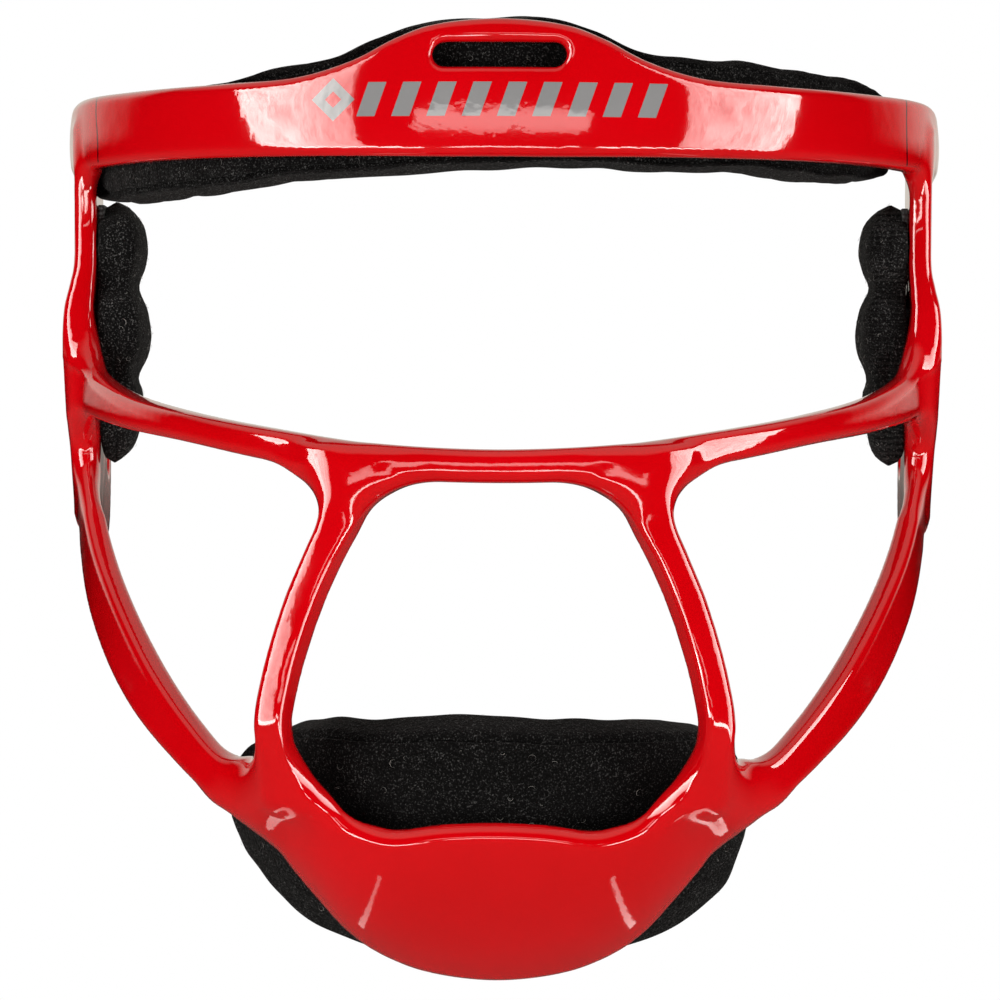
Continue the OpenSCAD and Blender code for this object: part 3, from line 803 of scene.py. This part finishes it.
class Nodes:
    """Short helper to wire a material's nodes."""

    def __init__(self, name):
        self.material = bpy.data.materials.new(name)
        self.material.use_nodes = True
        self.tree = self.material.node_tree
        self.tree.nodes.clear()
        self.out = self.tree.nodes.new("ShaderNodeOutputMaterial")
        self.surface = self.tree.nodes.new("ShaderNodeBsdfPrincipled")
        self.link(self.surface, "BSDF", self.out, "Surface")
        self.place = self.tree.nodes.new("ShaderNodeTexCoord")

    def link(self, a, out, b, into):
        self.tree.links.new(a.outputs[out], b.inputs[into])

    def set(self, **values):
        """Inputs of the surface, with _ for each space in their names."""
        for key, value in values.items():
            self.surface.inputs[key.replace("_", " ")].default_value = value

    def texture(self, kind, scale, **values):
        n = self.tree.nodes.new("ShaderNodeTex" + kind)
        for key, value in dict(values, Scale=scale).items():
            n.inputs[key].default_value = value
        self.link(self.place, "Object", n, "Vector")
        return n

    def noise(self, scale, detail=2.0, rough=0.5):
        return self.texture("Noise", scale, Detail=detail, Roughness=rough)

    def ramp(self, source, out, stops):
        """Colours by the source's value, from stops of position and colour."""
        r = self.tree.nodes.new("ShaderNodeValToRGB")
        e = r.color_ramp.elements
        while len(e) < len(stops):
            e.new(0.5)
        for spot, (at, colour) in zip(e, stops):
            spot.position = at
            spot.color = (*colour, 1)
        self.link(source, out, r, "Fac")
        return r

    def mix(self, a, b, factor=1.0, kind="MIX"):
        """Two colours mixed. A value is plain or a (node, output) pair. Output 2 is the colour."""
        m = self.tree.nodes.new("ShaderNodeMix")
        m.data_type = "RGBA"
        m.blend_type = kind
        if isinstance(factor, tuple):
            self.link(*factor, m, 0)
        else:
            m.inputs[0].default_value = factor
        for value, socket in ((a, 6), (b, 7)):
            if isinstance(value[0], float):
                m.inputs[socket].default_value = (*value, 1)
            else:
                self.link(*value, m, socket)
        return m

    def calc(self, kind, *values):
        """One step of arithmetic. A value is a number or a (node, output) pair."""
        n = self.tree.nodes.new("ShaderNodeMath")
        n.operation = kind
        for k, value in enumerate(values):
            if isinstance(value, tuple):
                self.link(*value, n, k)
            else:
                n.inputs[k].default_value = value
        return n, 0

    def all_of(self, *values):
        """1 where all the values are 1, and 0 elsewhere."""
        total = values[0]
        for value in values[1:]:
            total = self.calc("MULTIPLY", total, value)
        return total

    def bump(self, source, out, strength, distance, after=None):
        b = self.tree.nodes.new("ShaderNodeBump")
        b.inputs["Strength"].default_value = strength
        b.inputs["Distance"].default_value = distance
        self.link(source, out, b, "Height")
        if after is not None:
            self.link(after, "Normal", b, "Normal")
        return b


# The printed stripe, in metres: a row of slanted bars with an outlined diamond before it
PRINT_MIDDLE = 0.0773        # its height on the brow
BAR_HALF_HEIGHT = 0.0033
BAR_SLANT = 0.35             # sideways lean to a unit of height
BAR_PITCH, BAR_SHARE = 0.0068, 0.52      # from bar to bar, and how much of that is inked
BAR_START = 0.0265           # how far left of the middle the first bar begins
ROW_MIDDLE, ROW_HALF = 0.00245, 0.0292
DIAMOND_X, DIAMOND_OUTER, DIAMOND_INNER = -0.0322, 0.0042, 0.0016
PRINT_FRONT = -0.02          # ink lies only on faces in front of this Y that look forward
# Two fine mould seams across the brow, in metres
SEAM_X, SEAM_WANDER, SEAM_HALF = 0.0815, 0.0025, 0.00016
SEAM_BOTTOM, SEAM_FRONT = 0.0675, 0.02


def printed_row(m, x, y, z):
    """1 where the frame is inked."""
    rise = m.calc("SUBTRACT", z, PRINT_MIDDLE)
    height = m.calc("ABSOLUTE", rise)
    leaning = m.calc("SUBTRACT", x, m.calc("MULTIPLY", rise, BAR_SLANT))
    beat = m.calc("FRACT", m.calc("DIVIDE", m.calc("ADD", leaning, BAR_START), BAR_PITCH))
    off_middle = m.calc("ABSOLUTE", m.calc("SUBTRACT", leaning, ROW_MIDDLE))
    bars = m.all_of(
        m.calc("LESS_THAN", beat, BAR_SHARE), m.calc("LESS_THAN", off_middle, ROW_HALF),
        m.calc("LESS_THAN", height, BAR_HALF_HEIGHT),
    )
    from_tip = m.calc("ADD", m.calc("ABSOLUTE", m.calc("SUBTRACT", x, DIAMOND_X)), height)
    diamond = m.all_of(
        m.calc("LESS_THAN", from_tip, DIAMOND_OUTER), m.calc("GREATER_THAN", from_tip, DIAMOND_INNER)
    )
    facing = m.tree.nodes.new("ShaderNodeSeparateXYZ")
    m.link(m.place, "Normal", facing, "Vector")
    front = m.all_of(m.calc("LESS_THAN", y, PRINT_FRONT), m.calc("LESS_THAN", (facing, "Y"), 0.0))
    return m.all_of(m.calc("MAXIMUM", bars, diamond), front)


def mould_seams(m, x, y, z):
    """1 along the two seams."""
    wander = m.calc("MULTIPLY", m.calc("SUBTRACT", (m.noise(60, 1), "Fac"), 0.5), SEAM_WANDER)
    place = m.calc("SUBTRACT", m.calc("ABSOLUTE", x), m.calc("ADD", wander, SEAM_X))
    line = m.calc("LESS_THAN", m.calc("ABSOLUTE", place), SEAM_HALF)
    on_brow = m.all_of(m.calc("GREATER_THAN", z, SEAM_BOTTOM), m.calc("LESS_THAN", y, SEAM_FRONT))
    return m.all_of(line, on_brow)


def paint():
    """Gloss red with a grey printed row of slanted bars and two fine mould seams."""
    m = Nodes("gloss_red_paint")
    tone = m.noise(28, 3)
    red = m.ramp(tone, "Fac", [(0.3, (0.39, 0.0003, 0.0018)), (0.7, (0.44, 0.0006, 0.0032))])
    grey = m.ramp(tone, "Fac", [(0.3, (0.15, 0.153, 0.158)), (0.7, (0.18, 0.183, 0.188))])
    split = m.tree.nodes.new("ShaderNodeSeparateXYZ")
    m.link(m.place, "Object", split, "Vector")
    x, y, z = ((split, axis) for axis in "XYZ")
    printed = m.mix((red, "Color"), (grey, "Color"), printed_row(m, x, y, z))
    dark = m.mix((printed, 2), (0.09, 0.0004, 0.002), mould_seams(m, x, y, z))
    m.link(dark, 2, m.surface, "Base Color")
    m.set(Roughness=0.07, IOR=1.45, Coat_Weight=1.0, Coat_Roughness=0.03, Coat_IOR=1.5)
    # the gloss flows slowly, ripples, and has a fine orange peel
    peel = m.noise(900)
    flow = m.bump(m.noise(80), "Fac", 0.12, 0.0012)
    ripple = m.bump(m.noise(260), "Fac", 0.10, 0.0005, flow)
    skin = m.bump(peel, "Fac", 0.02, 0.0002, ripple)
    m.link(skin, "Normal", m.surface, "Coat Normal")
    under = m.bump(peel, "Fac", 0.02, 0.0002)
    m.link(under, "Normal", m.surface, "Normal")
    return m.material


def brushed_fabric(name, shade=0.0028, fibre=0.11, rib=None):
    """Black brushed knit: short pale fibres over a dark ground, with a soft sheen."""
    m = Nodes(name)
    grain = m.noise(2700, 3, 0.65)
    greys = ((0.42, shade * 0.5), (0.56, shade * 1.6), (0.70, fibre))
    fibres = m.ramp(grain, "Fac", [(at, (grey,) * 3) for at, grey in greys])
    cloud = m.ramp(m.noise(170, 3), "Fac", [(0.3, (0.62,) * 3), (0.72, (1.25,) * 3)])
    colour = m.mix((fibres, "Color"), (cloud, "Color"), kind="MULTIPLY")
    m.link(colour, 2, m.surface, "Base Color")
    m.set(Roughness=0.95, Sheen_Weight=0.03, Sheen_Roughness=0.5, Specular_IOR_Level=0.05)
    b = m.bump(m.noise(900, 3, 0.6), "Fac", 0.9, 0.0006)
    if rib:
        lines = m.texture("Wave", rib, Distortion=1.2, Detail=1.0)
        lines.bands_direction = "Z"
        b = m.bump(lines, "Fac", 0.8, 0.0007, b)
    fine = m.bump(grain, "Fac", 0.9, 0.0003, b)
    m.link(fine, "Normal", m.surface, "Normal")
    return m.material


def fibre_material():
    m = Nodes("pale_fibre")
    tone = m.noise(300, 1)
    colour = m.ramp(tone, "Fac", [(0.35, (0.07, 0.068, 0.066)), (0.65, (0.36, 0.35, 0.33))])
    m.link(colour, "Color", m.surface, "Base Color")
    m.set(Roughness=0.7, Specular_IOR_Level=0.2)
    return m.material


def foam_material():
    m = Nodes("grey_closed_cell_foam")
    cells = m.texture("Voronoi", 1500)
    colour = m.ramp(cells, "Distance", [(0.0, (0.02, 0.02, 0.021)), (0.6, (0.09, 0.09, 0.094))])
    m.link(colour, "Color", m.surface, "Base Color")
    m.set(Roughness=0.8)
    b = m.bump(cells, "Distance", 0.6, 0.0003)
    m.link(b, "Normal", m.surface, "Normal")
    return m.material


def hook_tape():
    m = Nodes("black_hook_tape")
    hooks = m.texture("Voronoi", 900, Randomness=0.35)
    colour = m.ramp(hooks, "Distance", [(0.1, (0.055, 0.055, 0.057)), (0.5, (0.008, 0.008, 0.008))])
    m.link(colour, "Color", m.surface, "Base Color")
    m.set(Roughness=0.45, Specular_IOR_Level=0.4)
    b = m.bump(hooks, "Distance", 1.0, 0.0005)
    b.invert = True
    m.link(b, "Normal", m.surface, "Normal")
    return m.material


def wear(obj, material):
    obj.data.materials.clear()
    obj.data.materials.append(material)


# ---- The object ----------------------------------------------

cast_frame = make_frame()
wear(cast_frame, paint())

fabric = brushed_fabric("black_brushed_knit")
ribbed = brushed_fabric("black_ribbed_knit", rib=260.0)
loops = brushed_fabric("black_loop_cloth", 0.0026, 0.075)
# The chin pad's knit is the same black knit made darker: painted shade for the pad lying in the shadow
# behind the chin guard
chin_cloth_painted_shade = brushed_fabric("black_knit_painted_shade", 0.0014, 0.05)
foam_look = foam_material()
lint = fibre_material()
tape = hook_tape()
for node_name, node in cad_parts.items():
    if "hook" in node_name:
        wear(node, tape)


def dressed(pieces, cloth=fabric, lining=loops):
    looks = {
        "_cover": cloth, "_foam": foam_look, "_backing": lining, "_fibres": lint, "_lint": lint,
    }
    for key, look in looks.items():
        wear(pieces[key], look)


forehead_half = [
    upright(x, y, top, bottom, FOREHEAD_WALL, 0, thick) for x, y, top, bottom, thick in FOREHEAD
]
side_right = [
    station((SIDE_FACE, front, z), (SIDE_FACE, rear, z), SIDE_WALL, 0, thick)
    for front, rear, z, thick in SIDE
]
chin_half, chin_end = (
    [station(top, bottom, GUARD_WALL, bow, thick) for top, bottom, bow, thick in rows]
    for rows in (CHIN, CHIN_RIGHT_END)
)
askew = np.array(Matrix.Rotation(-FOREHEAD_TILT, 3, "Y"))
flipped = np.array([-1.0, 1.0, 1.0])
dressed(make_pad(
    "forehead_pad", both_sides(forehead_half), 9, 3, lambda p: p @ askew.T + (0, 0, FOREHEAD_RISE)
))
dressed(make_pad("right_side_pad", side_right, 6, 5, fibres=SIDE_FIBRES), ribbed)
left = make_pad("left_side_pad", side_right, 6, 8, lambda p: p * flipped, fibres=SIDE_FIBRES)
for key in ("_cover", "_foam", "_backing"):
    left[key].data.flip_normals()
dressed(left)
chin = both_sides(chin_half)[:-len(chin_end)] + chin_end
# The chin pad wears the darkened knit, painted shade, on its cover and its backing alike
dressed(make_pad("chin_pad", chin, 8, 11, hem=0.0, seam=0.1, trim=1.0), chin_cloth_painted_shade, chin_cloth_painted_shade)


# ---- Floor, lights and camera, in metres ---------------------

CAMERA_BACK = 1.1          # from the middle of the head opening
CAMERA_LENS, CAMERA_SENSOR = 198, 36
CAMERA_YAW, CAMERA_ROLL = math.radians(0.8), math.radians(0.3)
FLOOR_DROP, FLOOR_HALF = 0.16, 0.65      # below the mask, and half a side
BACKDROP_LEVEL, CEILING_LEVEL, GROUND_LEVEL = 0.66, 0.5, 0.11
WARM = (1, 0.96, 0.92)
CREASES = (34, 5, 1)                     # how close the creases of a softbox's cloth lie
MIDDLE = (0, 0, 0)
GUARD_END = (0.024, -0.045, -0.078)      # the right half of the chin guard
# Name, place, width, height, watts, roll in degrees, aim, cloth's brightness from side to side
LIGHTS = (
    ("left_softbox", (-0.80, -0.77, 0.20), 0.56, 1.1, 16, 14, MIDDLE, (1.4, 0.5)),
    ("right_softbox", (0.95, -0.60, 0.20), 0.66, 1.1, 18, -16, MIDDLE, (0.5, 1.2)),
    ("left_low_strip", (-0.52, -0.80, -0.26), 0.55, 0.07, 1.6, 8),
    ("right_low_strip", (0.52, -0.80, -0.26), 0.55, 0.07, 1.6, -8),
    ("centre_low_strip", (0, -0.98, -0.17), 0.42, 0.05, 0.6),
    ("lens_strip", (0, -1.2, 0.055), 0.70, 0.07, 0.45),
    (
        "left_table_strip", (-0.107, -0.022, -0.24), 0.17, 0.008, 0.006, -20,
        (-GUARD_END[0], *GUARD_END[1:]),
    ),
    ("right_table_strip", (0.107, -0.022, -0.24), 0.17, 0.010, 0.012, 20, GUARD_END),
)


def make_floor():
    low, high = -FLOOR_HALF, FLOOR_HALF
    level = cad_box[0].z - FLOOR_DROP
    corners = [(low, low, level), (high, low, level), (high, high, level), (low, high, level)]
    mesh = bpy.data.meshes.new("floor")
    mesh.from_pydata(corners, [], [(0, 1, 2, 3)])
    floor = bpy.data.objects.new("floor", mesh)
    bpy.context.scene.collection.objects.link(floor)
    m = Nodes("pale_floor")
    colour = m.ramp(m.noise(3), "Fac", [(0.3, (0.84,) * 3), (0.7, (0.88,) * 3)])
    m.link(colour, "Color", m.surface, "Base Color")
    m.set(Roughness=0.9)
    wear(floor, m.material)
    floor.visible_glossy = False       # the paint's gloss doesn't show it


def mapped(tree, value, low, high, to_low=0.0, to_high=1.0, kind="LINEAR"):
    """A value from low to high, carried over to the second range and held at its ends."""
    n = tree.nodes.new("ShaderNodeMapRange")
    n.interpolation_type = kind
    for key, number in (("From Min", low), ("From Max", high), ("To Min", to_low), ("To Max", to_high)):
        n.inputs[key].default_value = number
    tree.links.new(value, n.inputs["Value"])
    return n.outputs["Result"]


def worked_out(tree, operation, a, b):
    """The output of one step of arithmetic on two outputs."""
    n = tree.nodes.new("ShaderNodeMath")
    n.operation = operation
    tree.links.new(a, n.inputs[0])
    tree.links.new(b, n.inputs[1])
    return n.outputs[0]


def make_world():
    """White behind the mask and overhead, a dark room in front. The camera sees plain white."""
    world = bpy.data.worlds.new("studio")
    bpy.context.scene.world = world
    world.use_nodes = True
    tree = world.node_tree
    tree.nodes.clear()
    out = tree.nodes.new("ShaderNodeOutputWorld")
    ray = tree.nodes.new("ShaderNodeLightPath")
    place = tree.nodes.new("ShaderNodeTexCoord")
    split = tree.nodes.new("ShaderNodeSeparateXYZ")
    tree.links.new(place.outputs["Generated"], split.inputs[0])

    def fade(axis, low, high, level):
        """A level that comes up as the way looked leans along an axis from low to high."""
        return mapped(tree, split.outputs[axis], low, high, 0.0, level, "SMOOTHSTEP")

    wall = fade("Y", 0.36, 0.66, BACKDROP_LEVEL)
    behind = worked_out(tree, "MULTIPLY", wall, fade("Z", -0.02, 0.06, 1.0))
    above = worked_out(tree, "MAXIMUM", behind, fade("Z", 0.60, 0.85, CEILING_LEVEL))
    room = worked_out(tree, "MAXIMUM", above, fade("Z", 0.0, -0.5, GROUND_LEVEL))
    studio = tree.nodes.new("ShaderNodeBackground")
    studio.inputs["Color"].default_value = (1, 0.94, 0.84, 1)
    tree.links.new(room, studio.inputs["Strength"])
    plain = tree.nodes.new("ShaderNodeBackground")
    plain.inputs["Color"].default_value = (1, 1, 1, 1)
    plain.inputs["Strength"].default_value = 1.0
    mix = tree.nodes.new("ShaderNodeMixShader")
    tree.links.new(ray.outputs["Is Camera Ray"], mix.inputs[0])
    tree.links.new(studio.outputs[0], mix.inputs[1])
    tree.links.new(plain.outputs[0], mix.inputs[2])
    tree.links.new(mix.outputs[0], out.inputs[0])


def creased_cloth(light, sides):
    """The light's front cloth: creased, with its brightness changing from side to side."""
    light.use_nodes = True
    tree = light.node_tree
    glow = next(n for n in tree.nodes if n.type == "EMISSION")
    place = tree.nodes.new("ShaderNodeNewGeometry").outputs["Parametric"]
    split = tree.nodes.new("ShaderNodeSeparateXYZ")
    tree.links.new(place, split.inputs[0])
    across = mapped(tree, split.outputs["X"], 0.0, 1.0, *sides)
    stretch = tree.nodes.new("ShaderNodeMapping")
    stretch.inputs["Scale"].default_value = CREASES
    tree.links.new(place, stretch.inputs["Vector"])
    folds = tree.nodes.new("ShaderNodeTexNoise")
    folds.inputs["Scale"].default_value = 1.0
    folds.inputs["Detail"].default_value = 3.0
    tree.links.new(stretch.outputs["Vector"], folds.inputs["Vector"])
    shade = mapped(tree, folds.outputs["Fac"], 0.3, 0.7, 0.55, 1.45)
    tree.links.new(worked_out(tree, "MULTIPLY", across, shade), glow.inputs["Strength"])


def softbox(name, at, width, height, power, roll=0.0, aim=MIDDLE, sides=None):
    light = bpy.data.lights.new(name, "AREA")
    light.shape = "RECTANGLE"
    light.size, light.size_y, light.energy = width, height, power
    light.color = WARM
    if sides:
        creased_cloth(light, sides)
    obj = bpy.data.objects.new(name, light)
    obj.visible_camera = False
    bpy.context.scene.collection.objects.link(obj)
    look = (Vector(aim) - Vector(at)).to_track_quat("-Z", "Y").to_matrix()
    turn = look @ Matrix.Rotation(math.radians(roll), 3, "Z")
    obj.matrix_world = Matrix.Translation(at) @ turn.to_4x4()


def make_camera():
    data = bpy.data.cameras.new("camera")
    data.lens, data.sensor_width = CAMERA_LENS, CAMERA_SENSOR
    data.clip_start, data.clip_end = 0.05, 50
    camera = bpy.data.objects.new("camera", data)
    bpy.context.scene.collection.objects.link(camera)
    back = Vector((math.sin(CAMERA_YAW), -math.cos(CAMERA_YAW), 0))
    up = Vector((-math.sin(CAMERA_ROLL), 0, math.cos(CAMERA_ROLL)))
    right = up.cross(back).normalized()
    up = back.cross(right)
    turn = Matrix((right, up, back)).transposed().to_4x4()
    camera.matrix_world = Matrix.Translation(back * CAMERA_BACK) @ turn
    bpy.context.scene.camera = camera


make_floor()
make_world()
for row in LIGHTS:
    softbox(*row)
make_camera()
bpy.context.scene.view_settings.view_transform = "Standard"
